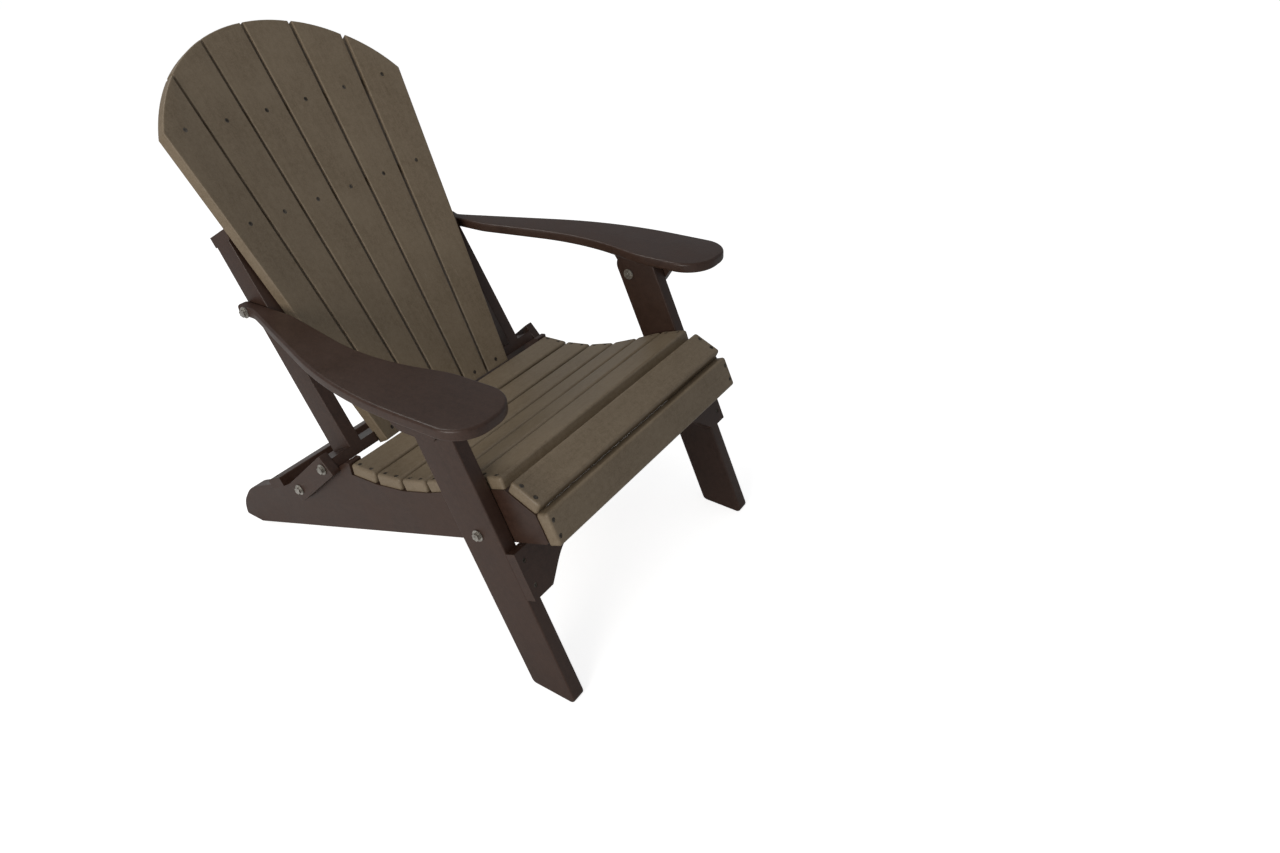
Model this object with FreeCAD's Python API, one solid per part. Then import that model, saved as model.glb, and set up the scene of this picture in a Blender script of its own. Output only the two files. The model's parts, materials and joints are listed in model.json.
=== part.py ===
"""Folding fan-back adirondack chair in plastic lumber, with a curved back, swinging rear links
and pivoting front legs.

Frame: +Z up, the chair faces -Y and the sitter's right hand is at -X. Millimetres.
Side views are drawn in (y, z), with y growing to the rear, and the finished chair is moved so that
the origin is at the middle of its footprint, on the floor.
"""

import FreeCAD, Part
import math
import os

from FreeCAD import Matrix, Vector

# Board stock
FRAME_THICK = 28.5
BOARD_THICK = 20.0
SLAT_THICK = 22.0
EDGE_ROUND = 3.0
SLAT_EDGE_ROUND = 5.5
BACK_EDGE_ROUND = 2.5
SLAT_SPARE = 30.0
ARM_EDGE_ROUND = 5.0

# Clearances
SIDE_GAP = 0.5
FACE_GAP = 0.3
PIVOT_CLEARANCE = 0.08
SCREW_CLEARANCE = 0.1

# Seat: slats from the rear to the front, with their slopes (positive rises to the front) and the
# gaps between them where they come nearest
RAIL_OUTER = 294.5
SLAT_INSET = 2.5
SEAT_REAR_Y = 64.0
SEAT_REAR_Z = 294.5
SEAT_SLAT_WIDTH = 61.5
SEAT_SLOPES = (4.0, 11.5, 20.0, 26.0, 28.0, 20.5, -22.5, -65.0)
SEAT_GAPS = (5.5, 5.5, 5.5, 5.5, 2.5, 5.5, 0.05)

# Rails
RAIL_SLOPE = 21.64
HEEL_FRONT_Y = 414.0
HEEL_REAR_Y = 464.5
NOSE_LOW_Z = 32.0
NOSE_TOP_Y = 424.0
NOSE_TOP_Z = 89.0
NOSE_LOW_ROUND = 80.0
NOSE_TOP_ROUND = 100.0
NOSE_TOP_SLOPE = 27.5
RAIL_FRONT_ROUND = 6.0
NOTCH_GAP = 3.0
REST_PEAK_RISE = 3.0
REST_PEAK_DROP = 2.0
REST_PEAK_LENGTH = 12.0

# Rear stretcher, which lies on the rails square to the back
STRETCHER_TOP_Y = 346.6
STRETCHER_TOP_Z = 140.4
STRETCHER_WIDTH = 48.0

# Front legs
LEG_WIDTH = 88.9
LEG_LEAN = 66.1
LEG_PIVOT_Y = -275.4
LEG_PIVOT_Z = 305.5
LEG_PIVOT_FROM_REAR = 42.9
FOOT_REAR_ROUND = 12.0
FOOT_FRONT_ROUND = 10.0
LEG_TOP_GAP = 2.0

# Apron between the legs, below the seat
APRON_DROP = 36.0
APRON_HEIGHT = 92.5
APRON_FOOT_LENGTH = 48.0
APRON_ARCH_START = 100.0
APRON_ARCH_END = 205.0
APRON_ARCH_FOOT = 42.0
APRON_ARCH_RISE = 52.0

# Arms
ARM_TOP_Z = 559.0
ARM_TILT = 2.3
ARM_PIVOT_Y = 293.0
ARM_PIVOT_BELOW_TOP = 10.0
ARM_FRONT_PIVOT_Y = -166.2
ARM_FRONT_PIVOT_Z = 504.0
TONGUE_WIDTH = 24.0
TONGUE_END = 23.0
TONGUE_ROUND = 7.0
TONGUE_FRONT = 105.0
ARM_LENGTH = 643.0
ARM_WIDTH = 147.0
ARM_NECK = 12.0

# Arm cleats
CLEAT_HEIGHT = 64.0
CLEAT_BOTTOM_REAR = 16.0
CLEAT_BOTTOM_FRONT = 58.0
CLEAT_TOP_REAR = 68.0
CLEAT_TOP_FRONT = 100.0

# Back: a fan of slats on a shallow curve
BACK_LEAN = 60.0
BACK_FOOT_Y = 97.7
BACK_FOOT_Z = 268.8
BACK_CURVE = 0.00095
SLAT_COUNT = 6
SLAT_PITCH = 61.9
SLAT_TAPER = 0.0463
SLAT_GAP = 6.0
FAN_TOP = 803.5
FAN_RADIUS = 315.0
UPRIGHT_OUTER = 251.6
FRAME_SETBACK = 22.5
UPRIGHT_FOOT_DEPTH = 62.5
UPRIGHT_TOP_DEPTH = 48.0
LOWER_BAR_REAR = 66.5
UPPER_BRACE_REAR = 51.5
LOWER_BAR_S = 6.3
UPPER_BRACE_S = 452.7
TOP_BRACE_DROP = 170.5
TOP_BRACE_REAR = 50.0
TOP_BRACE_HALF = 225.0

# Rear links, which carry the foot of the back
LINK_WIDTH = 44.0
LINK_TOP_END = 16.0
LINK_BOTTOM_END = 25.0
LINK_LOWER_Y = 208.0
LINK_LOWER_Z = 189.3
BACK_PIVOT_FROM_FRONT = 15.4

# Hardware
BOLT_R = 4.0
WASHER_R = 11.0
WASHER_THICK = 1.8
HEX_FLATS = 13.0
HEX_THICK = 5.5
HEX_TURN = 15.0
HEX_CROWN = 1.12
BOLT_TAIL = 3.0
DOME_R = 9.0
DOME_THICK = 3.0
LAG_LENGTH = 45.0
SCREW_R = 2.2
SCREW_HEAD_R = 4.2
SCREW_HEAD_DEPTH = 2.6
SCREW_SUNK = 0.8
SCREW_FROM_END = 9.5
SLAT_SCREW_EDGE = 16.0
SLAT_SCREW_BITE = 22.0

X_AXIS = Vector(1, 0, 0)


def direction(degrees):
    """Unit vector in the side view, at an angle from +Y towards +Z."""
    angle = math.radians(degrees)
    return Vector(0, math.cos(angle), math.sin(angle))


def rounded_wire(corners):
    """Closed wire through (point, radius) corners, each rounded with a tangent arc."""
    edges = []
    joints = []
    count = len(corners)
    for i, (corner, radius) in enumerate(corners):
        before = (corners[i - 1][0] - corner).normalize()
        after = (corners[(i + 1) % count][0] - corner).normalize()
        if radius <= 0:
            joints.append((corner, None, corner))
            continue
        half = before.getAngle(after) / 2
        reach = radius / math.tan(half)
        inward = (before + after).normalize()
        middle = corner + inward * (radius / math.sin(half) - radius)
        joints.append((corner + before * reach, middle, corner + after * reach))
    for i, (start, middle, end) in enumerate(joints):
        if middle is not None:
            edges.append(Part.Arc(start, middle, end).toShape())
        following = joints[(i + 1) % count][0]
        if (following - end).Length > 1e-6:
            edges.append(Part.LineSegment(end, following).toShape())
    return Part.Wire(edges)


def plate(corners, offset):
    """Board with the given rounded outline, as thick as the offset vector is long."""
    return Part.Face(rounded_wire(corners)).extrude(offset)


def side_board(corners, x_low, thick):
    """Board that stands on edge: an outline in the side view, pushed out along X."""
    placed = [(Vector(x_low, y, z), radius) for y, z, radius in corners]
    return plate(placed, Vector(thick, 0, 0))


def face_edges(shape, normal, both=True):
    """Edges of the flat faces whose normal is along the given direction."""
    found = []
    for face in shape.Faces:
        if face.Surface.TypeId != "Part::GeomPlane":
            continue
        along = face.normalAt(0, 0).dot(normal)
        if along > 0.999 or (both and along < -0.999):
            found.extend(face.Edges)
    return found


def mirrored(shape):
    """The same piece on the other side of the chair."""
    return shape.mirror(Vector(0, 0, 0), X_AXIS)


def cross_x(position, x_low, x_high, radius):
    """Round bar along X through a side-view position."""
    start = Vector(x_low, position.y, position.z)
    return Part.makeCylinder(radius, x_high - x_low, start, X_AXIS)


def hexagon(position, x_low, thick):
    """Hexagonal head or nut, its axis along X."""
    radius = HEX_FLATS / math.sqrt(3)
    corners = []
    for i in range(6):
        spoke = direction(60 * i + HEX_TURN) * radius
        corners.append(Vector(x_low, position.y + spoke.y, position.z + spoke.z))
    prism = Part.Face(Part.makePolygon(corners + corners[:1])).extrude(Vector(thick, 0, 0))
    ball = Part.makeSphere(radius * HEX_CROWN, Vector(x_low + thick / 2, position.y, position.z))
    return prism.common(ball)


def washer(position, x_low):
    """Flat washer about a bolt."""
    disc = cross_x(position, x_low, x_low + WASHER_THICK, WASHER_R)
    return disc.cut(cross_x(position, x_low, x_low + WASHER_THICK, BOLT_R + PIVOT_CLEARANCE))


def bolt(position, x_tip, x_seat):
    """Hex bolt that points inwards: its head bears at x_seat and its tip is at x_tip."""
    shank = cross_x(position, x_tip, x_seat, BOLT_R)
    return shank.fuse(hexagon(position, x_seat, HEX_THICK)).removeSplitter()


def round_bolt(position, x_tip, x_seat):
    """Carriage bolt that points inwards, with a low round head."""
    ball_r = (DOME_R ** 2 + DOME_THICK ** 2) / (2 * DOME_THICK)
    ball = Part.makeSphere(ball_r, Vector(x_seat + DOME_THICK - ball_r, position.y, position.z))
    head = ball.common(cross_x(position, x_seat, x_seat + DOME_THICK, DOME_R))
    return cross_x(position, x_tip, x_seat, BOLT_R).fuse(head).removeSplitter()


def nut(position, x_low):
    """Hex nut on a bolt."""
    block = hexagon(position, x_low, HEX_THICK)
    return block.cut(cross_x(position, x_low, x_low + HEX_THICK, BOLT_R + PIVOT_CLEARANCE))


def screw(seat, inward, length, extra=0.0):
    """Countersunk screw sunk below a surface; extra widens it to make the tool for its hole."""
    inward = Vector(inward).normalize()
    top = seat + inward * SCREW_SUNK
    head_r = SCREW_HEAD_R + extra
    head = Part.makeCone(head_r, SCREW_R + extra, SCREW_HEAD_DEPTH, top, inward)
    shape = head.fuse(Part.makeCylinder(SCREW_R + extra, length + extra, top, inward))
    if extra:
        mouth = seat - inward * SCREW_HEAD_R
        shape = shape.fuse(Part.makeCylinder(head_r, SCREW_HEAD_R + SCREW_SUNK, mouth, inward))
    return shape.removeSplitter()


def drill(shape, screws):
    """Cut the holes for a list of (seat, inward, length) screws."""
    for placing in screws:
        shape = shape.cut(screw(*placing, extra=SCREW_CLEARANCE))
    return shape


def bore(shape, position, radius=BOLT_R + PIVOT_CLEARANCE):
    """Cut a bolt hole right through along X."""
    box = shape.BoundBox
    return shape.cut(cross_x(position, box.XMin - 5, box.XMax + 5, radius))


def crossing(point_a, along_a, point_b, along_b):
    """Where two side-view lines meet."""
    gap = point_b - point_a
    span = along_a.y * along_b.z - along_a.z * along_b.y
    reach = (gap.y * along_b.z - gap.z * along_b.y) / span
    return point_a + along_a * reach


# Axes of the four boards that turn
leg_pivot = Vector(0, LEG_PIVOT_Y, LEG_PIVOT_Z)
leg_up = direction(LEG_LEAN)
leg_front = direction(LEG_LEAN + 90)
link_pivot = Vector(0, LINK_LOWER_Y, LINK_LOWER_Z)
arm_front_pivot = Vector(0, ARM_FRONT_PIVOT_Y, ARM_FRONT_PIVOT_Z)
arm_along = direction(-ARM_TILT)
arm_normal = direction(90 - ARM_TILT)
arm_top = Vector(0, 0, ARM_TOP_Z)
arm_pivot_top = crossing(arm_top, arm_along, Vector(0, ARM_PIVOT_Y, 0), Vector(0, 0, 1))
arm_pivot = arm_pivot_top - arm_normal * ARM_PIVOT_BELOW_TOP

frame_front = FRAME_SETBACK - SLAT_THICK
top_brace_s = FAN_TOP - TOP_BRACE_DROP
back_up = direction(BACK_LEAN)
back_front = direction(BACK_LEAN + 90)
back_foot = Vector(0, BACK_FOOT_Y, BACK_FOOT_Z)


def on_back(x, s, n):
    """Point on the back: x across, s up its slope, n forward of the middle of its face."""
    return back_foot + back_up * s + back_front * n + X_AXIS * x


def up_back(point):
    """How far a point is up the slope of the back."""
    return (point - back_foot).dot(back_up)


back_pivot = on_back(0, LOWER_BAR_S + BOARD_THICK / 2, frame_front - BACK_PIVOT_FROM_FRONT)

# Planes across the chair, from the middle outwards
rail_inner = RAIL_OUTER - FRAME_THICK
leg_inner = RAIL_OUTER + SIDE_GAP
leg_outer = leg_inner + FRAME_THICK
link_outer = leg_inner + BOARD_THICK
cleat_inner = leg_outer + SIDE_GAP
cleat_outer = cleat_inner + BOARD_THICK
slat_half = RAIL_OUTER - SLAT_INSET
upright_inner = UPRIGHT_OUTER - FRAME_THICK
tongue_inner = UPRIGHT_OUTER + SIDE_GAP
tongue_outer = tongue_inner + TONGUE_WIDTH


def seat_stations():
    """Rear top edge, forward direction and upward normal of each seat slat."""
    stations = []
    edge = Vector(0, SEAT_REAR_Y, SEAT_REAR_Z)
    for i, slope in enumerate(SEAT_SLOPES):
        ahead = direction(180 - slope)
        stations.append((edge, ahead, direction(90 - slope)))
        if i < len(SEAT_GAPS):
            middle = (slope + SEAT_SLOPES[i + 1]) / 2
            turn = math.radians(slope - SEAT_SLOPES[i + 1])
            gap = SEAT_GAPS[i] + max(0, 2 * math.sin(turn / 2) * SLAT_THICK)
            edge = edge + ahead * SEAT_SLAT_WIDTH + direction(180 - middle) * gap
    return stations


def seat_slat_screws(station):
    """Two screws at each end of a seat slat, down into the rails."""
    edge, ahead, normal = station
    placings = []
    for across in (SLAT_SCREW_EDGE, SEAT_SLAT_WIDTH - SLAT_SCREW_EDGE):
        for side in (-1, 1):
            x = side * (slat_half - SCREW_FROM_END)
            seat = edge + ahead * across + X_AXIS * x
            placings.append((seat, normal * -1, SLAT_THICK + SLAT_SCREW_BITE))
    return placings


def make_seat_slat(station):
    """Seat slat across both rails, its top edges and the corners of its ends rounded over."""
    edge, ahead, normal = station
    low = X_AXIS * -slat_half
    width = ahead * SEAT_SLAT_WIDTH
    corners = [edge + low, edge + low + width, edge - low + width, edge - low]
    slab = Part.Face(Part.makePolygon(corners + corners[:1])).extrude(normal * -SLAT_THICK)
    upright = [edge for edge in slab.Edges if abs(edge.Length - SLAT_THICK) < 0.01]
    slab = slab.makeFillet(SLAT_EDGE_ROUND, face_edges(slab, normal, both=False) + upright)
    return drill(slab, seat_slat_screws(station))


def stretcher_corners():
    """Side-view corners of the rear stretcher: top rear, top front, bottom front, bottom rear."""
    top_rear = Vector(0, STRETCHER_TOP_Y, STRETCHER_TOP_Z)
    top_front = top_rear + back_front * STRETCHER_WIDTH
    return [top_rear, top_front, top_front - back_up * BOARD_THICK, top_rear - back_up * BOARD_THICK]


def rail_outline(stations):
    """Side-view outline of a rail, from its heel round the nose and along the seat to the front."""
    heel = Vector(0, HEEL_FRONT_Y, 0)
    bottom_along = direction(180 - RAIL_SLOPE)
    nose = Vector(0, NOSE_TOP_Y, NOSE_TOP_Z)
    nose_along = direction(180 - NOSE_TOP_SLOPE)
    top_rear, top_front, low_front, low_rear = stretcher_corners()
    notch_rear = low_rear - back_front * FACE_GAP
    notch_top = crossing(nose, nose_along, notch_rear, back_up)

    seat_level = LOWER_BAR_S - FACE_GAP
    bar_rear = on_back(0, seat_level, -LOWER_BAR_REAR - NOTCH_GAP)
    bar_front = on_back(0, seat_level, frame_front + NOTCH_GAP / 2)
    edge, ahead, normal = stations[0]
    rest_top = edge - ahead * FACE_GAP + normal * REST_PEAK_RISE
    rest_back = rest_top - ahead * REST_PEAK_LENGTH - normal * REST_PEAK_DROP

    corners = [
        (heel, 0),
        (Vector(0, HEEL_REAR_Y, 0), 4),
        (Vector(0, HEEL_REAR_Y, NOSE_LOW_Z), NOSE_LOW_ROUND),
        (nose, NOSE_TOP_ROUND),
        (notch_top, 0),
        (notch_rear, 0),
        (low_front, 0),
        (bar_rear, 0),
        (bar_front, 0),
        (rest_back, 5),
        (rest_top, 2),
    ]
    under = [(start - up * SLAT_THICK, forward) for start, forward, up in stations]
    first, first_along = under[0]
    corners.append((first - first_along * FACE_GAP, 0))
    for (point_a, along_a), (point_b, along_b) in zip(under, under[1:]):
        corners.append((crossing(point_a, along_a, point_b, along_b), 0))
    last, last_along = under[-1]
    corners.append((crossing(last, last_along, heel, bottom_along), RAIL_FRONT_ROUND))
    return [(point.y, point.z, radius) for point, radius in corners]


def make_rail(stations):
    """Left rail: carries the seat slats, the stretcher and the pivots of the legs and links."""
    rail = side_board(rail_outline(stations), rail_inner, FRAME_THICK)
    for position in (leg_pivot, link_pivot):
        rail = bore(rail, position)
    for station in stations:
        rail = drill(rail, [placing for placing in seat_slat_screws(station) if placing[0].x > 0])
    return drill(rail, [placing for placing in stretcher_screws() if placing[0].x > 0])


def stretcher_screws():
    """Two screws at each end of the rear stretcher, down into the rails."""
    top_rear = stretcher_corners()[0]
    placings = []
    for across in (STRETCHER_WIDTH / 4, STRETCHER_WIDTH * 3 / 4):
        for side in (-1, 1):
            x = side * (RAIL_OUTER - FRAME_THICK / 2)
            seat = top_rear + back_front * across + X_AXIS * x
            placings.append((seat, back_up * -1, BOARD_THICK + SLAT_SCREW_BITE))
    return placings


def make_stretcher():
    """Rear stretcher, lying on the rails behind the back."""
    corners = [(corner - X_AXIS * RAIL_OUTER, 0) for corner in stretcher_corners()]
    bar = plate(corners, X_AXIS * (2 * RAIL_OUTER))
    bar = bar.makeFillet(EDGE_ROUND, face_edges(bar, back_up, both=False))
    return drill(bar, stretcher_screws())


def make_leg():
    """Left front leg: cut level at the floor, and along the arm at the top."""
    rear = leg_pivot - leg_front * LEG_PIVOT_FROM_REAR
    front = rear + leg_front * LEG_WIDTH
    floor = Vector(0, 0, 0)
    level = direction(0)
    under_arm = arm_top - arm_normal * (BOARD_THICK + LEG_TOP_GAP)
    rear_top_round = LEG_PIVOT_FROM_REAR + (arm_front_pivot - leg_pivot).dot(leg_front)
    corners = [
        (crossing(rear, leg_up, floor, level), FOOT_REAR_ROUND),
        (crossing(front, leg_up, floor, level), FOOT_FRONT_ROUND),
        (crossing(front, leg_up, under_arm, arm_along), 3),
        (crossing(rear, leg_up, under_arm, arm_along), rear_top_round),
    ]
    outline = [(point.y, point.z, radius) for point, radius in corners]
    leg = side_board(outline, leg_inner, FRAME_THICK)
    leg = leg.makeFillet(EDGE_ROUND, face_edges(leg, X_AXIS))
    for position in (leg_pivot, arm_front_pivot):
        leg = bore(leg, position)
    return drill(leg, [placing for placing in apron_screws() if placing[0].x > 0])


def on_apron(x, s, n):
    """Point on the apron: s down the legs from their pivot, n forward of the legs' front edge."""
    front = LEG_WIDTH - LEG_PIVOT_FROM_REAR
    return leg_pivot - leg_up * s + leg_front * (front + FACE_GAP + n) + X_AXIS * x


def apron_screws():
    """Two screws at each end of the apron, back into the legs."""
    placings = []
    for down in (APRON_HEIGHT * 0.22, APRON_HEIGHT * 0.75):
        for side in (-1, 1):
            x = side * (leg_inner + FRAME_THICK / 2)
            seat = on_apron(x, APRON_DROP + down, BOARD_THICK)
            placings.append((seat, leg_front * -1, BOARD_THICK + SLAT_SCREW_BITE))
    return placings


def make_apron():
    """Apron across the front legs, with a foot at each end and an arched lower edge."""
    low = APRON_DROP + APRON_HEIGHT

    def point(x, rise):
        return on_apron(x, low - rise, 0)

    foot = leg_outer - APRON_FOOT_LENGTH
    bend = leg_outer - APRON_ARCH_START
    flat = leg_outer - APRON_ARCH_END
    turn = foot - (foot - bend) * 0.35
    curve = [(foot, 0), (turn, APRON_ARCH_FOOT * 0.38), (bend, APRON_ARCH_FOOT), (flat, APRON_ARCH_RISE - 2)]
    arch = [point(x, rise) for x, rise in curve]
    arch.append(point(0, APRON_ARCH_RISE))
    arch.extend(point(-x, rise) for x, rise in reversed(curve))
    spline = Part.BSplineCurve()
    spline.interpolate(arch)
    corners = [
        arch[-1],
        point(-leg_outer, 0),
        point(-leg_outer, APRON_HEIGHT),
        point(leg_outer, APRON_HEIGHT),
        point(leg_outer, 0),
        arch[0],
    ]
    edges = [spline.toShape()]
    for start, end in zip(corners, corners[1:]):
        edges.append(Part.LineSegment(start, end).toShape())
    board = Part.Face(Part.Wire(edges)).extrude(leg_front * BOARD_THICK)
    return drill(board, apron_screws())


def make_arm():
    """Left arm: a curved paddle whose narrow rear tongue is bolted to the outside of the upright."""
    outline = [
        (0, -TONGUE_END, TONGUE_ROUND),
        (TONGUE_WIDTH, -TONGUE_END, TONGUE_ROUND),
        (TONGUE_WIDTH, TONGUE_END, 60),
        (ARM_WIDTH, 0.57 * ARM_LENGTH, 800),
        (ARM_WIDTH, ARM_LENGTH, ARM_WIDTH * 0.39),
        (ARM_NECK, ARM_LENGTH, ARM_WIDTH * 0.42),
        (ARM_NECK, 0.775 * ARM_LENGTH, 200),
        (ARM_NECK + 34, 0.54 * ARM_LENGTH, 500),
        (0, TONGUE_FRONT, 100),
    ]
    corners = []
    for out, ahead, radius in outline:
        corners.append((Vector(tongue_inner + out, ARM_PIVOT_Y - ahead, 0), radius))
    arm = plate(corners, Vector(0, 0, -BOARD_THICK))
    arm = arm.makeFillet(ARM_EDGE_ROUND, face_edges(arm, Vector(0, 0, 1)))
    arm.rotate(Vector(0, 0, 0), X_AXIS, -ARM_TILT)
    arm.translate(arm_top)
    arm = bore(arm, arm_pivot)
    return drill(arm, [placing for placing in cleat_screws() if placing[0].x > 0])


def cleat_point(ahead, drop):
    """Point on the cleat: ahead of the front pivot, and below the underside of the arm."""
    top = arm_top - arm_normal * BOARD_THICK
    start = crossing(top, arm_along, arm_front_pivot, arm_normal)
    return start - arm_along * ahead - arm_normal * drop


def cleat_screws():
    """Screws up through each cleat into the arm."""
    placings = []
    for ahead in (-CLEAT_BOTTOM_REAR + 2, CLEAT_BOTTOM_FRONT - 12):
        for side in (-1, 1):
            seat = cleat_point(ahead, CLEAT_HEIGHT) + X_AXIS * side * (cleat_inner + BOARD_THICK / 2)
            placings.append((seat, arm_normal, CLEAT_HEIGHT + BOARD_THICK * 0.6))
    return placings


def make_cleat():
    """Left arm cleat, under the arm and outside the leg."""
    corners = [
        (cleat_point(-CLEAT_TOP_REAR, FACE_GAP), 2),
        (cleat_point(-CLEAT_BOTTOM_REAR - 14, CLEAT_HEIGHT - 8), 12),
        (cleat_point(-CLEAT_BOTTOM_REAR, CLEAT_HEIGHT), 12),
        (cleat_point(CLEAT_BOTTOM_FRONT, CLEAT_HEIGHT), 14),
        (cleat_point(CLEAT_TOP_FRONT, FACE_GAP), 2),
    ]
    outline = [(point.y, point.z, radius) for point, radius in corners]
    cleat = side_board(outline, cleat_inner, BOARD_THICK)
    cleat = bore(cleat, arm_front_pivot)
    return drill(cleat, [placing for placing in cleat_screws() if placing[0].x > 0])


def slat_pitch(s):
    """Spacing of the back slats, which fan out up the back."""
    return SLAT_PITCH + SLAT_TAPER * s


def slat_plane(k):
    """Front face of back slat k as n = base + rise * s + lean * x, close to the back's curve."""
    low_x = k * slat_pitch(0)
    high_x = k * slat_pitch(FAN_TOP)
    lean = BACK_CURVE * (low_x + high_x) / 2
    low_n = BACK_CURVE * low_x ** 2 / 2 - lean * low_x
    high_n = BACK_CURVE * high_x ** 2 / 2 - lean * high_x
    return low_n, (high_n - low_n) / FAN_TOP, lean


def slat_point(k, x, s):
    """Point on the front face of back slat k."""
    base, rise, lean = slat_plane(k)
    return on_back(x, s, base + rise * s + lean * x)


def slat_numbers():
    """Places of the back slats, in pitches from the middle."""
    return [i - (SLAT_COUNT - 1) / 2 for i in range(SLAT_COUNT)]


def rear_face_n(k, x, s):
    """How far forward the rear face of back slat k is at x, s."""
    base, rise, lean = slat_plane(k)
    return base + rise * s + lean * x - SLAT_THICK * math.sqrt(1 + lean ** 2 + rise ** 2)


def back_screw_rows():
    """Heights of the three rows of screws, at the middles of the bars that they enter."""
    return [bar + BOARD_THICK / 2 for bar in (LOWER_BAR_S, UPPER_BRACE_S, top_brace_s)]


def slat_screws(k):
    """One screw through back slat k into each of the three bars behind it."""
    return [
        (slat_point(k, k * slat_pitch(s), s), back_front * -1, SLAT_THICK + SLAT_SCREW_BITE * 0.8)
        for s in back_screw_rows()
    ]


def make_back_slat(k):
    """Tapered back slat, its top on the arc that all the slats share."""
    top = FAN_TOP + SLAT_SPARE
    corners = []
    for side, s in ((-1, 0), (1, 0), (1, top), (-1, top)):
        x = (k + side / 2) * slat_pitch(s) - side * SLAT_GAP / 2
        corners.append(slat_point(k, x, s))
    face = Part.Face(Part.makePolygon(corners + corners[:1]))
    normal = face.normalAt(0, 0)
    if normal.dot(back_front) < 0:
        normal = normal * -1
    board = face.extrude(normal * -SLAT_THICK)
    centre = on_back(0, FAN_TOP - FAN_RADIUS, -100)
    arc = Part.makeCylinder(FAN_RADIUS, 300, centre, back_front)
    below = Part.makeBox(2000, 300, FAN_TOP - FAN_RADIUS + 10)
    below = below.transformGeometry(back_matrix(on_back(-1000, -10, -100)))
    board = board.common(arc.fuse(below))
    board = board.makeFillet(BACK_EDGE_ROUND, face_edges(board, normal, both=False))
    return drill(board, slat_screws(k))


def back_matrix(origin):
    """Matrix that turns a box's x, y, z into the back's across, forward and up directions."""
    return Matrix(
        1, 0, 0, origin.x,
        0, back_front.y, back_up.y, origin.y,
        0, back_front.z, back_up.z, origin.z,
        0, 0, 0, 1,
    )


def slats_rear(x, s):
    """Rearmost point, n, of the slats' rear faces at x, s, less a small gap."""
    place = x / slat_pitch(s)
    near = [k for k in slat_numbers() if abs(k - place) < 0.6]
    return min(rear_face_n(k, x, s) for k in near) - FACE_GAP


def make_cross_bar(s_low, half, rear, shoulder=None):
    """Bar behind the slats: its front edge follows their rear faces, then steps to a shoulder."""
    s_mid = s_low + BOARD_THICK / 2
    numbers = slat_numbers()
    reach = half
    if shoulder is not None:
        turned = slat_plane(numbers[-1])[2] * SLAT_THICK
        reach = (numbers[-1] + 0.5) * slat_pitch(s_low + BOARD_THICK) - SLAT_GAP / 2 + turned + SIDE_GAP
    joints = [(k + 0.5) * slat_pitch(s_mid) for k in numbers[:-1]]
    across = [-reach] + [x for x in joints if abs(x) < reach] + [reach]
    outline = [(half, -rear), (-half, -rear)]
    if shoulder is not None:
        outline += [(-half, shoulder), (-reach, shoulder)]
    outline += [(x, slats_rear(x, s_mid)) for x in across]
    if shoulder is not None:
        outline += [(reach, shoulder), (half, shoulder)]
    corners = [on_back(x, s_low, n) for x, n in outline]
    return Part.Face(Part.makePolygon(corners + corners[:1])).extrude(back_up * BOARD_THICK)


def bar_end_screws(s_seat, inward, upright_depth):
    """Two screws through a cross bar into the end of each upright."""
    placings = []
    for depth in (upright_depth * 0.3, upright_depth * 0.7):
        for side in (-1, 1):
            seat = on_back(side * (UPRIGHT_OUTER - FRAME_THICK / 2), s_seat, frame_front - depth)
            placings.append((seat, inward, BOARD_THICK + SLAT_SCREW_BITE * 1.3))
    return placings


def frame_screws():
    """Screws up through the lower bar and down through the upper brace, into the uprights."""
    lower = bar_end_screws(LOWER_BAR_S, back_up, UPRIGHT_FOOT_DEPTH)
    upper = bar_end_screws(UPPER_BRACE_S + BOARD_THICK, back_up * -1, UPRIGHT_TOP_DEPTH)
    return lower + upper


def make_upright():
    """Left upright, standing on the lower bar and capped by the upper brace."""
    low = LOWER_BAR_S + BOARD_THICK
    x = upright_inner
    corners = [
        (on_back(x, low, frame_front - UPRIGHT_FOOT_DEPTH), 0),
        (on_back(x, low, frame_front), 0),
        (on_back(x, UPPER_BRACE_S, frame_front), 0),
        (on_back(x, UPPER_BRACE_S, frame_front - UPRIGHT_TOP_DEPTH), 0),
    ]
    board = plate(corners, X_AXIS * FRAME_THICK)
    long_edges = [edge for edge in board.Edges if edge.Length > 300]
    board = board.makeFillet(EDGE_ROUND * 0.6, long_edges)
    return drill(board, [placing for placing in frame_screws() if placing[0].x > 0])


def make_lower_bar():
    """Lower bar of the back, between the rear links; their upper bolts enter its ends."""
    bar = make_cross_bar(LOWER_BAR_S, RAIL_OUTER, LOWER_BAR_REAR, frame_front)
    for side in (-1, 1):
        tip = side * (RAIL_OUTER - LAG_LENGTH)
        low, high = sorted((tip - side, side * (RAIL_OUTER + 1)))
        bar = bar.cut(cross_x(back_pivot, low, high, BOLT_R + PIVOT_CLEARANCE))
    lower = [placing for placing in frame_screws() if placing[1].dot(back_up) > 0]
    return drill_rows(drill(bar, lower), back_screw_rows()[0])


def make_upper_brace():
    """Upper brace of the back, on top of the uprights at the height of the arms."""
    bar = make_cross_bar(UPPER_BRACE_S, UPRIGHT_OUTER, UPPER_BRACE_REAR)
    upper = [placing for placing in frame_screws() if placing[1].dot(back_up) < 0]
    return drill_rows(drill(bar, upper), back_screw_rows()[1])


def make_top_brace():
    """Top brace, which ties the slats together near their tops."""
    bar = make_cross_bar(top_brace_s, TOP_BRACE_HALF, TOP_BRACE_REAR)
    return drill_rows(bar, back_screw_rows()[2])


def drill_rows(bar, s):
    """Cut the holes for the row of slat screws at one height."""
    placings = [placing for k in slat_numbers() for placing in slat_screws(k)]
    return drill(bar, [placing for placing in placings if abs(up_back(placing[0]) - s) < 5])


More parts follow.
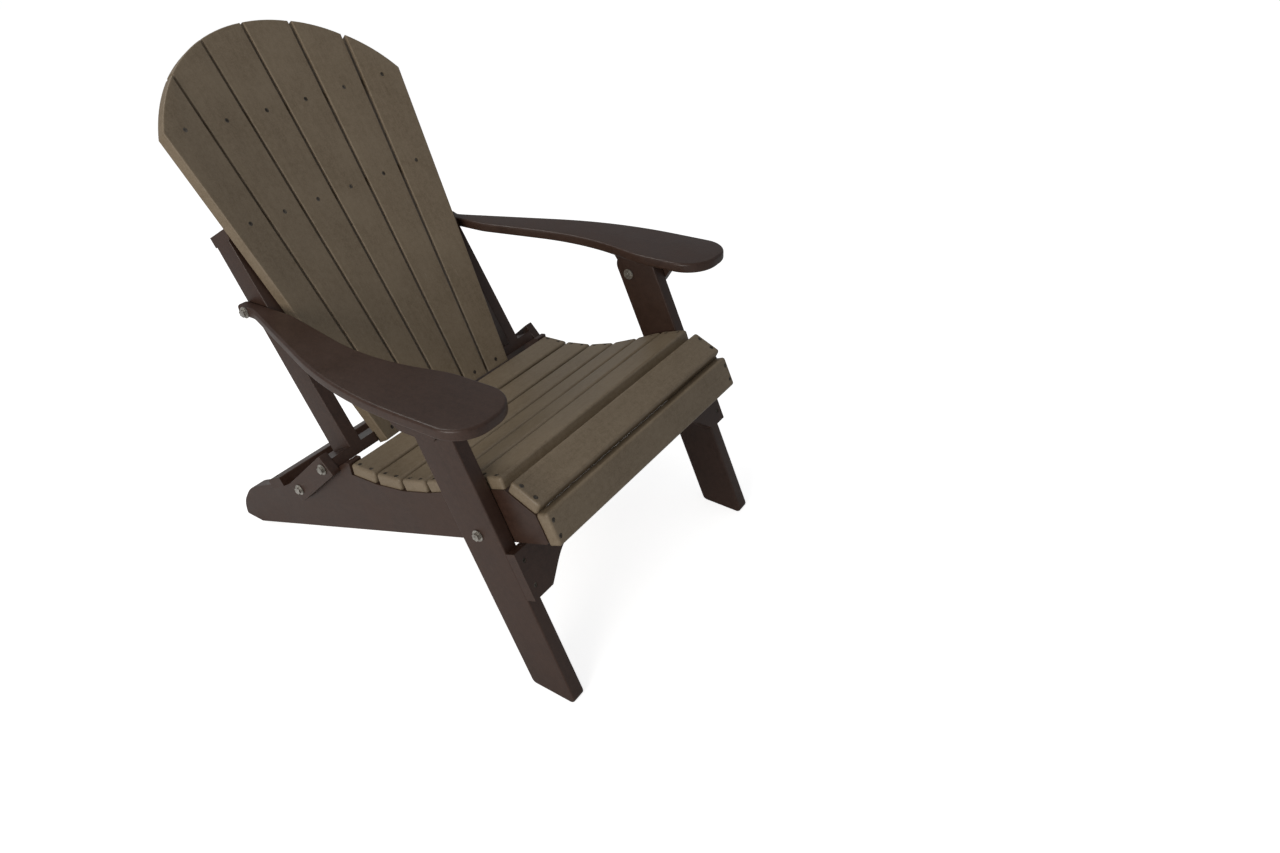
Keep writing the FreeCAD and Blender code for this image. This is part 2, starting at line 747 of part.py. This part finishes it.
def make_link():
    """Left rear link, between the rail and the foot of the back."""
    along = (back_pivot - link_pivot).normalize()
    across = Vector(0, -along.z, along.y)
    top = back_pivot + along * LINK_TOP_END
    low = link_pivot - along * LINK_BOTTOM_END
    half = across * (LINK_WIDTH / 2)
    corners = [(top + half, 2), (top - half, 2), (low - half, 6), (low + half, 6)]
    outline = [(point.y, point.z, radius) for point, radius in corners]
    link = side_board(outline, leg_inner, BOARD_THICK)
    link = link.makeFillet(1.5, face_edges(link, X_AXIS))
    for position in (back_pivot, link_pivot):
        link = bore(link, position)
    return link


def pair(shape):
    """A fastener on each side of the chair, as two solids."""
    return Part.makeCompound([mirrored(shape), shape])


def pivot_set(nodes, name, position, x_face, x_inside):
    """Bolt, washer and nut pairs of a pivot that passes through two boards."""
    seat = x_face + FACE_GAP
    nodes[name + "_washers"] = pair(washer(position, seat))
    nut_low = x_inside - FACE_GAP - HEX_THICK
    tip = nut_low - BOLT_TAIL
    nodes[name + "_bolts"] = pair(bolt(position, tip, seat + WASHER_THICK))
    nodes[name + "_nuts"] = pair(nut(position, nut_low))


def round_set(nodes, name, position, x_face, x_inside):
    """Carriage bolt, washer and nut pairs, with the washers inside, under the nuts."""
    washer_low = x_inside - FACE_GAP - WASHER_THICK
    nut_low = washer_low - HEX_THICK
    nodes[name + "_bolts"] = pair(round_bolt(position, nut_low - BOLT_TAIL, x_face + FACE_GAP))
    nodes[name + "_washers"] = pair(washer(position, washer_low))
    nodes[name + "_nuts"] = pair(nut(position, nut_low))


def lag_set(nodes, name, position, x_face, x_tip):
    """Bolt and washer pairs of a bolt that ends inside a board."""
    seat = x_face + FACE_GAP
    nodes[name + "_washers"] = pair(washer(position, seat))
    nodes[name + "_bolts"] = pair(bolt(position, x_tip, seat + WASHER_THICK))


def screw_group(placings):
    """A group of like screws."""
    return Part.makeCompound([screw(*placing) for placing in placings])


def build():
    """All the nodes of the chair, by name."""
    nodes = {}
    stations = seat_stations()

    def both_sides(name, shape):
        nodes["left_" + name] = shape
        nodes["right_" + name] = mirrored(shape)

    both_sides("rail", make_rail(stations))
    for i, station in enumerate(stations):
        nodes["seat_slat_%d" % (i + 1)] = make_seat_slat(station)
    nodes["rear_stretcher"] = make_stretcher()
    seat_screws = [placing for station in stations for placing in seat_slat_screws(station)]
    nodes["seat_screws"] = screw_group(seat_screws)
    nodes["stretcher_screws"] = screw_group(stretcher_screws())

    both_sides("front_leg", make_leg())
    nodes["front_apron"] = make_apron()
    nodes["apron_screws"] = screw_group(apron_screws())

    both_sides("arm", make_arm())
    both_sides("arm_cleat", make_cleat())
    nodes["cleat_screws"] = screw_group(cleat_screws())

    numbers = slat_numbers()
    for i, k in enumerate(numbers):
        nodes["back_slat_%d" % (i + 1)] = make_back_slat(k)
    nodes["back_slat_screws"] = screw_group([placing for k in numbers for placing in slat_screws(k)])
    both_sides("upright", make_upright())
    nodes["lower_back_bar"] = make_lower_bar()
    nodes["upper_back_brace"] = make_upper_brace()
    nodes["top_back_brace"] = make_top_brace()
    nodes["upright_screws"] = screw_group(frame_screws())
    both_sides("rear_link", make_link())

    pivot_set(nodes, "leg_pivot", leg_pivot, leg_outer, rail_inner)
    pivot_set(nodes, "link_pivot", link_pivot, link_outer, rail_inner)
    round_set(nodes, "arm_pivot", arm_front_pivot, cleat_outer, leg_inner)
    lag_set(nodes, "back_pivot", back_pivot, link_outer, RAIL_OUTER - LAG_LENGTH)
    lag_set(nodes, "arm_rear", arm_pivot, tongue_outer, tongue_inner + FACE_GAP)
    return nodes


def main():
    """Build, move the origin to the middle of the footprint, and write one STEP per node."""
    os.makedirs("parts", exist_ok=True)
    nodes = build()
    box = FreeCAD.BoundBox()
    for shape in nodes.values():
        box.add(shape.optimalBoundingBox(False, False))
    shift = Vector(-box.Center.x, -box.Center.y, -box.ZMin)
    for name, shape in nodes.items():
        shape.translate(shift)
        shape.exportStep("parts/%s.step" % name)
        if not shape.isValid():
            print("not valid:", name)
    print("size", round(box.XLength, 2), round(box.YLength, 2), round(box.ZLength, 2))
    axes = (leg_pivot, arm_front_pivot, link_pivot, back_pivot, arm_pivot)
    for name, position in zip(("leg", "arm", "link", "back", "arm rear"), axes):
        placed = position + shift
        print("axis", name, round(placed.y, 3), round(placed.z, 3))


main()
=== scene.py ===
"""Looks of a folding fan-back adirondack chair: satin plastic lumber in two browns, with stainless
bolts and sunk screws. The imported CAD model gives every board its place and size. Metres.
"""

import json
import math

import bpy
import numpy as np
from mathutils import Matrix, Vector


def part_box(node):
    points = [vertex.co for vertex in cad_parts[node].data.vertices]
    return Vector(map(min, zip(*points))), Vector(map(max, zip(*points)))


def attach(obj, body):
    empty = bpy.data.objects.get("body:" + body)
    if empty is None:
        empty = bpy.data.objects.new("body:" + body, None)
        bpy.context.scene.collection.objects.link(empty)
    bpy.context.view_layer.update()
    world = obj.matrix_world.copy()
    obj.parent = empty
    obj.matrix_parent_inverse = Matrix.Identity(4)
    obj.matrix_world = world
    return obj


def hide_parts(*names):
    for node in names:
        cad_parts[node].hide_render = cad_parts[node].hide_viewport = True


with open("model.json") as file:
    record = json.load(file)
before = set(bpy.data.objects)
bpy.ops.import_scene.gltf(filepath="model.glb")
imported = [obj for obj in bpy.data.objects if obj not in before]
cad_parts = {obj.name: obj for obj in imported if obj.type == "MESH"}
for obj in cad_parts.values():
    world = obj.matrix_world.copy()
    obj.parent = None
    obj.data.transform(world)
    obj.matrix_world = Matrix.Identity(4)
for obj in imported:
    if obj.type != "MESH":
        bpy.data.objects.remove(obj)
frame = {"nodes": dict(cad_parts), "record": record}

record = frame["record"]
body_names = record["behaviour"]["bodies"]
body_of_node = {node: body for body, nodes in body_names.items() for node in nodes}
slot_of_node = {part["node"]: part["material_slot"] for part in record["subparts"]}
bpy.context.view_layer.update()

# Directions of the boards in the side view, in degrees from +Y towards +Z
BACK_LEAN = 60.0
LEG_LEAN = 66.1
RAIL_LEAN = -21.6
LINK_LEAN = 136.0
ACROSS = Vector((1, 0, 0))
HEX_TURN = math.radians(15)

# Corners of CAD triangles nearer than this are one point
MERGE = 1e-5

# Screws, as the CAD has them, with a socket for a star driver
SCREW_R = 0.0022
SCREW_HEAD = 0.0042
SCREW_CONE = 0.0026
SOCKET = 0.0020


def side_direction(degrees):
    """Unit vector in the side view."""
    angle = math.radians(degrees)
    return Vector((0, math.cos(angle), math.sin(angle)))


def linear(hex_colour):
    """Linear RGBA from an sRGB hex colour."""
    channels = [int(hex_colour[i:i + 2], 16) / 255 for i in (1, 3, 5)]
    return [c / 12.92 if c <= 0.04045 else ((c + 0.055) / 1.055) ** 2.4 for c in channels] + [1.0]


# Materials

def node(tree, kind, settings=None, values=None, links=None):
    """Add a shader node with its settings, constant values and links, and return it."""
    made = tree.nodes.new(kind)
    for key, value in (settings or {}).items():
        setattr(made, key, value)
    for key, value in (values or {}).items():
        made.inputs[key].default_value = value
    for key, socket in (links or {}).items():
        tree.links.new(socket, made.inputs[key])
    return made


def new_material(name):
    """Empty node material with its Principled shader."""
    material = bpy.data.materials.new(name)
    material.use_nodes = True
    return material, material.node_tree, material.node_tree.nodes["Principled BSDF"]


def grain_space(tree, grain, stretch):
    """Object coordinates turned so that X runs along the grain, then scaled by stretch per metre."""
    side = Vector((0, 0, 1)) if abs(grain.z) < 0.9 else Vector((0, 1, 0))
    second = side.cross(grain).normalized()
    third = grain.cross(second)
    turn = Matrix((grain, second, third)).to_euler()
    place = node(tree, "ShaderNodeTexCoord").outputs["Object"]
    turned = node(tree, "ShaderNodeMapping", values={"Rotation": turn}, links={"Vector": place})
    scaled = node(tree, "ShaderNodeVectorMath", {"operation": "MULTIPLY"}, {1: stretch},
                  {0: turned.outputs["Vector"]})
    return scaled.outputs["Vector"]


def noise(tree, vector, scale, detail=2.0, roughness=0.5):
    """Noise value on a vector."""
    values = {"Scale": scale, "Detail": detail, "Roughness": roughness}
    return node(tree, "ShaderNodeTexNoise", values=values, links={"Vector": vector}).outputs["Fac"]


def spread(tree, value, low, high, to_low=0.0, to_high=1.0):
    """Stretch a value from one range to another, held at the ends."""
    values = {"From Min": low, "From Max": high, "To Min": to_low, "To Max": to_high}
    return node(tree, "ShaderNodeMapRange", values=values, links={"Value": value}).outputs["Result"]


def blend(tree, amount, first, second, kind="MIX"):
    """Mix two colours, each a socket or a list; the amount is a socket or a number."""
    mix = node(tree, "ShaderNodeMix", {"data_type": "RGBA", "blend_type": kind})
    slots = {"Factor": 0, "A": 6, "B": 7}
    for key, value in (("Factor", amount), ("A", first), ("B", second)):
        socket = mix.inputs[slots[key]]
        if isinstance(value, (int, float, list)):
            socket.default_value = value
        else:
            tree.links.new(value, socket)
    return mix.outputs[2]


def plastic_lumber(name, base, dark, light, dust, grain, gloss):
    """Foamed polyethylene lumber: a matt mottled skin, finer specks over soft clouds, with barely
    drawn streaks along the board, pale scuffs, and a low orange-peel relief that breaks the shine."""
    material, tree, shader = new_material(name)
    # Specks are 3 mm wide, mottling 9 mm, streaks 5 mm by 80 mm, clouds about 90 mm
    level = grain_space(tree, grain, (1, 1, 1))
    long_way = grain_space(tree, grain, (0.06, 1, 1))
    speckle = noise(tree, level, 380, 3, 0.65)
    mottle = noise(tree, level, 110, 3, 0.6)
    streaks = noise(tree, long_way, 200, 3, 0.55)
    clouds = noise(tree, level, 12, 3, 0.5)
    scuffs = noise(tree, grain_space(tree, grain, (0.25, 1, 1)), 95, 4, 0.7)
    colour = blend(tree, spread(tree, speckle, 0.34, 0.66), linear(dark), linear(light))
    colour = blend(tree, 0.45, linear(base), colour)
    colour = blend(tree, spread(tree, mottle, 0.36, 0.66, 0.0, 0.45), colour, linear(light))
    colour = blend(tree, spread(tree, streaks, 0.42, 0.72, 0.0, 0.22), colour, linear(dark))
    colour = blend(tree, spread(tree, clouds, 0.38, 0.68, 0.0, 0.4), colour, linear(light))
    colour = blend(tree, spread(tree, scuffs, 0.66, 0.8, 0.0, 0.30), colour, linear(dust))
    tree.links.new(colour, shader.inputs["Base Color"])
    shine = spread(tree, clouds, 0.35, 0.7, gloss, gloss + 0.10)
    shine = node(tree, "ShaderNodeMath", {"operation": "ADD"}, links={
        0: shine, 1: spread(tree, speckle, 0.3, 0.7, -0.05, 0.06)}).outputs["Value"]
    tree.links.new(shine, shader.inputs["Roughness"])
    shader.inputs["IOR"].default_value = 1.5
    peel = node(tree, "ShaderNodeBump", values={"Strength": 0.35, "Distance": 0.0006},
                links={"Height": speckle})
    drawn = node(tree, "ShaderNodeBump", values={"Strength": 0.12, "Distance": 0.0008},
                 links={"Height": streaks, "Normal": peel.outputs["Normal"]})
    tree.links.new(drawn.outputs["Normal"], shader.inputs["Normal"])
    return material


def slat_lumber(name, grain):
    """Taupe lumber of the seat and back slats."""
    return plastic_lumber(name, "#80705a", "#675843", "#93846f", "#bcb09b", grain, 0.44)


def frame_lumber(name, grain):
    """Dark chocolate lumber of the frame and arms, a little shinier than the slats."""
    return plastic_lumber(name, "#39261d", "#281811", "#4b362c", "#78665a", grain, 0.34)


def stainless(name, bright, dull, gloss):
    """Stainless steel fasteners: bright, with the fine turning marks and dulling of handled bolts."""
    material, tree, shader = new_material(name)
    place = node(tree, "ShaderNodeTexCoord").outputs["Object"]
    # Marks are drawn about 1 mm wide so that they show; smudges are about 8 mm
    marks = noise(tree, place, 900, 2)
    smudges = noise(tree, place, 120, 3)
    colour = blend(tree, spread(tree, smudges, 0.35, 0.7), linear(bright), linear(dull))
    tree.links.new(colour, shader.inputs["Base Color"])
    tree.links.new(spread(tree, smudges, 0.35, 0.7, gloss, gloss + 0.2), shader.inputs["Roughness"])
    shader.inputs["Metallic"].default_value = 1.0
    bump = node(tree, "ShaderNodeBump", values={"Strength": 0.2, "Distance": 0.0002},
                links={"Height": marks})
    tree.links.new(bump.outputs["Normal"], shader.inputs["Normal"])
    return material


# Geometry

def add_piece(name, vertices, faces, material, body, replaced=(), sharp=32.0):
    """Put a computed surface in the scene, smooth but for its sharp edges."""
    mesh = bpy.data.meshes.new(name)
    mesh.from_pydata([tuple(v) for v in vertices], [], faces)
    mesh.materials.append(material)
    piece = bpy.data.objects.new(name, mesh)
    bpy.context.scene.collection.objects.link(piece)
    mesh.shade_smooth()
    mesh.set_sharp_from_angle(angle=math.radians(sharp))
    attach(piece, body)
    if replaced:
        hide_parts(*replaced)
    return piece


def merged_mesh(name):
    """Points and triangles of a CAD node, with the corners that meet made into one point."""
    source = frame["nodes"][name].data
    points = np.empty(len(source.vertices) * 3)
    source.vertices.foreach_get("co", points)
    corners = np.empty(len(source.loops), dtype=np.int64)
    source.loops.foreach_get("vertex_index", corners)
    steps = np.round(points.reshape(-1, 3) / MERGE).astype(np.int64)
    keys, merged = np.unique(steps, axis=0, return_inverse=True)
    triangles = merged.reshape(-1)[corners].reshape(-1, 3)
    whole = ((triangles[:, 0] != triangles[:, 1]) & (triangles[:, 1] != triangles[:, 2])
             & (triangles[:, 2] != triangles[:, 0]))
    return keys * MERGE, triangles[whole]


def smooth_board(name, material):
    """A board from its CAD shape, merged so that its rounded edges shade smoothly."""
    points, triangles = merged_mesh(name)
    return add_piece("board_" + name, points, triangles.tolist(), material,
                     body_of_node[name], (name,))


def separate_solids(name):
    """The points of each solid in a CAD node: labels spread along edges until they are steady."""
    points, triangles = merged_mesh(name)
    labels = np.arange(len(points))
    while True:
        lowest = labels[triangles].min(axis=1)
        spread_labels = labels.copy()
        np.minimum.at(spread_labels, triangles.reshape(-1), np.repeat(lowest, 3))
        if (spread_labels == labels).all():
            return [points[labels == label] for label in np.unique(labels)]
        labels = spread_labels


def screw_place(points):
    """Middle of the head's top, direction out of the hole, and length, from a screw's points."""
    middle = (points.min(axis=0) + points.max(axis=0)) / 2
    centred = points - points.mean(axis=0)
    axis = np.linalg.svd(centred, full_matrices=False)[2][0]
    along = centred @ axis
    radius = np.linalg.norm(centred - along[:, None] * axis, axis=1)
    if along[radius.argmax()] < 0:
        axis = -axis
        along = -along
    length = along.max() - along.min()
    head = points[along > along.max() - MERGE * 5]
    return head.mean(axis=0) if len(head) > 2 else middle + axis * length / 2, axis, length


def star_screw(top, axis, length, count=48):
    """Closed countersunk screw. Each ring is a radius, a height above the head's top, and how deeply
    six waves are cut into it, which makes the socket star-shaped."""
    rings = [(0.0001, -length, 0), (SCREW_R * 0.6, -length, 0), (SCREW_R, -length + 0.003, 0),
             (SCREW_R, -SCREW_CONE, 0), (SCREW_HEAD, -0.0002, 0), (SCREW_HEAD, 0, 0),
             (SOCKET * 1.12, 0, 0.10), (SOCKET, -0.0002, 0.14), (SOCKET * 0.92, -0.0012, 0.14),
             (SOCKET * 0.4, -0.0016, 0), (0.0001, -0.0017, 0)]
    radii, heights, lobes = np.array(rings).T
    angles = np.arange(count) * 2 * math.pi / count
    ring = radii[:, None] * (1 + lobes[:, None] * np.cos(6 * angles)[None, :])
    side = np.cross(axis, (0.0, 0.6, 0.8) if abs(axis[0]) > 0.5 else (1.0, 0.0, 0.0))
    side = side / np.linalg.norm(side)
    other = np.cross(axis, side)
    around = np.cos(angles)[:, None] * side + np.sin(angles)[:, None] * other
    points = top + heights[:, None, None] * axis + ring[:, :, None] * around[None, :, :]
    here = np.arange(len(rings) * count).reshape(len(rings), count)
    beside = np.roll(here, -1, axis=1)
    quads = np.stack([here[:-1], beside[:-1], beside[1:], here[1:]], axis=-1).reshape(-1, 4)
    return points.reshape(-1, 3), quads.tolist() + [here[0][::-1].tolist(), here[-1].tolist()]


def turned(profile, centre, side, flats=None, count=96):
    """Closed surface about an X axis. Each profile point is (radius, distance outwards) and each ring
    has that radius, or where it is smaller the distance to a hexagon's side, so that a hexagon's
    corners are chamfered by the profile."""
    angles = np.arange(count) * 2 * math.pi / count
    radii, outs = np.array(profile).T
    ring = np.repeat(radii[:, None], count, axis=1)
    if flats:
        wrapped = (angles - HEX_TURN) % (math.pi / 3) - math.pi / 6
        ring = np.minimum(ring, flats / 2 / np.cos(wrapped)[None, :])
    x = centre[0] + side * np.repeat(outs[:, None], count, axis=1)
    y = centre[1] + ring * np.cos(angles)
    z = centre[2] + ring * np.sin(angles)
    rows = len(profile)
    here = np.arange(rows * count).reshape(rows, count)
    beside = np.roll(here, -1, axis=1)
    quads = np.stack([here[:-1], beside[:-1], beside[1:], here[1:]], axis=-1).reshape(-1, 4)
    faces = quads.tolist() + [here[0][::-1].tolist(), here[-1].tolist()]
    if side < 0:
        faces = [face[::-1] for face in faces]
    return np.stack([x, y, z], axis=-1).reshape(-1, 3), faces


def join(surfaces):
    """One list of vertices and faces from several surfaces."""
    vertices = []
    faces = []
    for points, polygons in surfaces:
        start = len(vertices)
        vertices.extend(points.tolist())
        faces.extend([[start + i for i in polygon] for polygon in polygons])
    return vertices, faces


# The steps below place boards, then fasteners, then the stage

def board_grain(name):
    """The way the grain runs in a board."""
    if "seat_slat" in name or name in ("rear_stretcher", "front_apron") or "back_b" in name:
        return ACROSS
    if "leg" in name or "cleat" in name:
        return side_direction(LEG_LEAN if "leg" in name else 0)
    if "back_slat" in name or "upright" in name:
        return side_direction(BACK_LEAN)
    if "rail" in name:
        return side_direction(RAIL_LEAN)
    if "link" in name:
        return side_direction(LINK_LEAN)
    return side_direction(0)


materials = {}
for name in sorted(frame["nodes"]):
    if slot_of_node[name] == "steel":
        continue
    grain = board_grain(name)
    key = (slot_of_node[name], tuple(round(v, 3) for v in grain))
    if key not in materials:
        make = slat_lumber if slot_of_node[name] == "slat_lumber" else frame_lumber
        materials[key] = make("%s_%d" % (slot_of_node[name], len(materials) + 1), grain)
    smooth_board(name, materials[key])

steel = stainless("stainless_steel", "#d2cfc8", "#918d86", 0.28)
# The screws get a much darker steel than the bolts: painted shade standing for the dark sunk holes they sit
# in
screw_steel = stainless("shade_painted_screw_steel", "#857f77", "#4d4841", 0.48)
for name in sorted(frame["nodes"]):
    if slot_of_node[name] == "steel":
        mesh = frame["nodes"][name].data
        mesh.materials.clear()
        mesh.materials.append(steel)
    if name.endswith("screws"):
        screws = [star_screw(*screw_place(points)) for points in separate_solids(name)]
        vertices, faces = join(screws)
        add_piece("star_" + name, vertices, faces, screw_steel, body_of_node[name], (name,))

# Each head covers the plain hexagon of its CAD bolt, a tenth of a millimetre proud of it
HEAD = 0.0055
HEAD_PROUD = 0.0001
HEX = 0.0132


def hex_head(radius, height):
    """Profile of a hex head: flats, a domed chamfer and a shallow dish in the top."""
    return [(0.0001, 0), (radius, 0), (radius, height * 0.66), (radius * 0.96, height * 0.84),
            (radius * 0.88, height * 0.96), (radius * 0.80, height), (radius * 0.66, height),
            (radius * 0.60, height - 0.00005), (0.0001, height - 0.00005)]


for name in sorted(frame["nodes"]):
    if not name.endswith("_bolts") or name == "arm_pivot_bolts":
        continue
    low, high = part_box(name)
    middle = (low + high) / 2
    outer = high[0]
    surfaces = []
    for side in (-1, 1):
        seat = (side * (outer - HEAD), middle[1], middle[2])
        profile = hex_head(HEX / math.sqrt(3), HEAD + HEAD_PROUD)
        surfaces.append(turned(profile, seat, side, HEX))
    vertices, faces = join(surfaces)
    add_piece("heads_" + name, vertices, faces, steel, body_of_node[name])

# Stage

FLOOR_SIZE = 40.0
mesh = bpy.data.meshes.new("floor")
edge = FLOOR_SIZE
mesh.from_pydata([(-edge, -edge, 0), (edge, -edge, 0), (edge, edge, 0), (-edge, edge, 0)], [], [(0, 1, 2, 3)])
floor = bpy.data.objects.new("floor", mesh)
bpy.context.scene.collection.objects.link(floor)
paper, tree, shader = new_material("white_paper")
# The lit part of the paper is raised to a clean white, while the chair's shadow stays in it
shader.inputs["Base Color"].default_value = linear("#e8e8e8")
shader.inputs["Roughness"].default_value = 1.0
shader.inputs["Specular IOR Level"].default_value = 0.0
rays = node(tree, "ShaderNodeLightPath")
glow = node(tree, "ShaderNodeEmission", values={"Color": linear("#ffffff"), "Strength": 0.80})
lit = node(tree, "ShaderNodeAddShader", links={0: shader.outputs[0], 1: glow.outputs[0]})
shown = node(tree, "ShaderNodeMixShader", links={
    0: rays.outputs["Is Camera Ray"], 1: shader.outputs[0], 2: lit.outputs[0]})
tree.links.new(shown.outputs[0], tree.nodes["Material Output"].inputs["Surface"])
mesh.materials.append(paper)

world = bpy.data.worlds.new("studio")
bpy.context.scene.world = world
world.use_nodes = True
tree = world.node_tree
background = tree.nodes["Background"]
background.inputs["Strength"].default_value = 0.29
rays = node(tree, "ShaderNodeLightPath")
plain = node(tree, "ShaderNodeBackground", values={"Color": linear("#ffffff"), "Strength": 1.0})
background.inputs["Color"].default_value = linear("#f2f3f5")
mixed = node(tree, "ShaderNodeMixShader", links={
    0: rays.outputs["Is Camera Ray"], 1: background.outputs[0], 2: plain.outputs[0]})
tree.links.new(mixed.outputs[0], tree.nodes["World Output"].inputs["Surface"])


def area_light(name, place, target, size, watts, colour):
    """Soft square light aimed at a point."""
    lamp = bpy.data.lights.new(name, "AREA")
    lamp.size = size
    lamp.energy = watts
    lamp.color = linear(colour)[:3]
    light = bpy.data.objects.new(name, lamp)
    light.location = place
    light.rotation_euler = (Vector(target) - Vector(place)).to_track_quat("-Z", "Y").to_euler()
    bpy.context.scene.collection.objects.link(light)


area_light("left_window", (-2.7, -0.5, 1.3), (0, 0, 0.4), 1.3, 31, "#fffaf4")
area_light("overhead", (-0.4, 1.3, 2.8), (0, -0.1, 0.4), 1.0, 16, "#fffdf8")

# Camera

AZIMUTH = math.radians(-57.0)
ELEVATION = math.radians(34.5)
DISTANCE = 2.05
TARGET = Vector((0.2853, -0.2305, 0.1427))
ROLL = math.radians(-0.2)
FOCAL_PIXELS = 911.7
WIDTH_PIXELS = 1280
SENSOR = 36.0

camera_data = bpy.data.cameras.new("camera")
camera_data.sensor_width = SENSOR
camera_data.lens = FOCAL_PIXELS / WIDTH_PIXELS * SENSOR
camera = bpy.data.objects.new("camera", camera_data)
away = Vector((math.sin(AZIMUTH) * math.cos(ELEVATION), -math.cos(AZIMUTH) * math.cos(ELEVATION),
               math.sin(ELEVATION)))
camera.location = TARGET + away * DISTANCE
facing = (-away).to_track_quat("-Z", "Y").to_matrix()
camera.rotation_euler = (facing @ Matrix.Rotation(ROLL, 3, "Z")).to_euler()
bpy.context.scene.collection.objects.link(camera)
bpy.context.scene.camera = camera
bpy.context.scene.view_settings.view_transform = "Standard"
